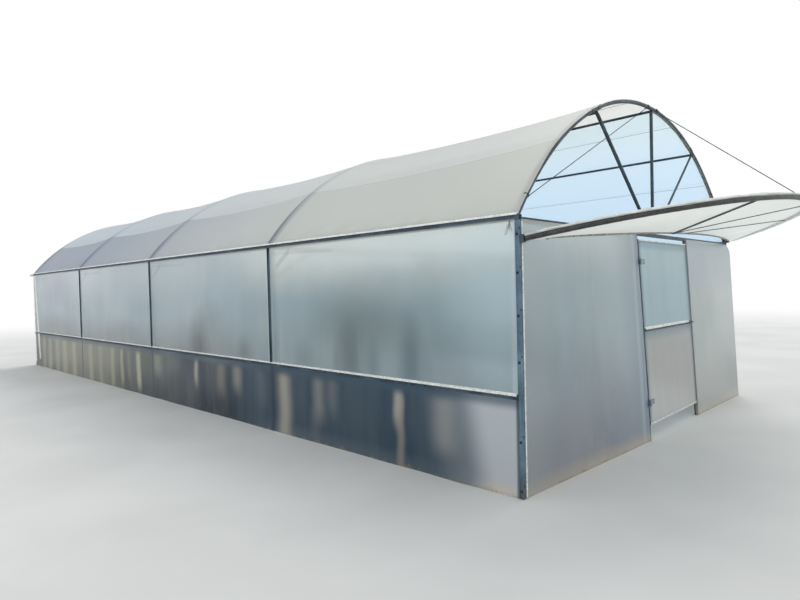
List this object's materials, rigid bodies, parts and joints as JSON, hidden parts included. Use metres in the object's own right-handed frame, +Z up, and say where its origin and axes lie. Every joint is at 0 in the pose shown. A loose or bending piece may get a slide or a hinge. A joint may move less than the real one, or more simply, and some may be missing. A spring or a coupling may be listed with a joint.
{
  "type": "polytunnel greenhouse",
  "caption": "Walk-in polytunnel greenhouse with an arched film roof, straight film walls, a hinged film door and a half-moon gable vent flap.",
  "frame": {"origin": "centre of the footprint at ground level, midway along the overall length with the open vent flap and the rear rail ends counted", "axes": "+Z up; Y runs along the tunnel, with the door and the vent flap at the -Y end; +X to the right seen from the door end"},
  "size_m": [6.088, 16.9459, 3.9553],
  "materials": {
    "galvanised_steel": "dull galvanised, weathered blue-grey",
    "wire": "bright drawn wire",
    "vent_pipe": "pipe wrapped in black plastic",
    "channel": "dull mill finish",
    "roof_film": "off-white woven-look film, satin",
    "wall_film": "milky translucent film, satin",
    "vent_film": "off-white film, satin",
    "rope": "twisted polypropylene line"
  },
  "bodies": {
    "tunnel": {"front_left_post": "galvanised_steel", "front_right_post": "galvanised_steel", "rear_left_post": "galvanised_steel", "rear_right_post": "galvanised_steel", "left_inner_posts": "galvanised_steel", "right_inner_posts": "galvanised_steel", "left_eave_rail": "galvanised_steel", "right_eave_rail": "galvanised_steel", "arch_1": "galvanised_steel", "arch_2": "galvanised_steel", "arch_3": "galvanised_steel", "arch_4": "galvanised_steel", "arch_5": "galvanised_steel", "front_tie": "galvanised_steel", "rear_tie": "galvanised_steel", "inner_ties": "galvanised_steel", "ridge_purlin": "galvanised_steel", "side_purlins": "galvanised_steel", "front_gable_struts": "galvanised_steel", "rear_gable_struts": "galvanised_steel", "door_post_left": "galvanised_steel", "door_post_right": "galvanised_steel", "rear_studs": "galvanised_steel", "door_hinge_pins": "galvanised_steel", "vent_base_bar": "galvanised_steel", "vent_ribs": "galvanised_steel", "vent_clamps": "galvanised_steel", "roof_wires": "wire", "vent_hoop": "vent_pipe", "left_mid_rail": "channel", "right_mid_rail": "channel", "left_eave_channel": "channel", "right_eave_channel": "channel", "left_post_channels": "channel", "right_post_channels": "channel", "roof_film_1": "roof_film", "roof_film_2": "roof_film", "roof_film_3": "roof_film", "roof_film_4": "roof_film", "rear_gable_film": "roof_film", "left_wall_film": "wall_film", "right_wall_film": "wall_film", "left_skirt_film": "wall_film", "right_skirt_film": "wall_film", "front_film_left": "wall_film", "front_film_right": "wall_film", "rear_wall_film": "wall_film", "vent_film": "vent_film", "vent_stay": "rope", "gable_line": "rope"},
    "door": {"door_frame": "galvanised_steel", "door_film": "wall_film", "door_mid_channel": "channel", "door_latch": "galvanised_steel", "door_hinge_straps": "galvanised_steel"}
  },
  "joints": [
    {"name": "door_hinge", "type": "hinge", "parent": "tunnel", "child": "door", "pos_m": [-0.509, -7.00802, 1.24712], "axis": [0, -0.0544, -0.9985], "range_deg": [0, 90]}
  ]
}
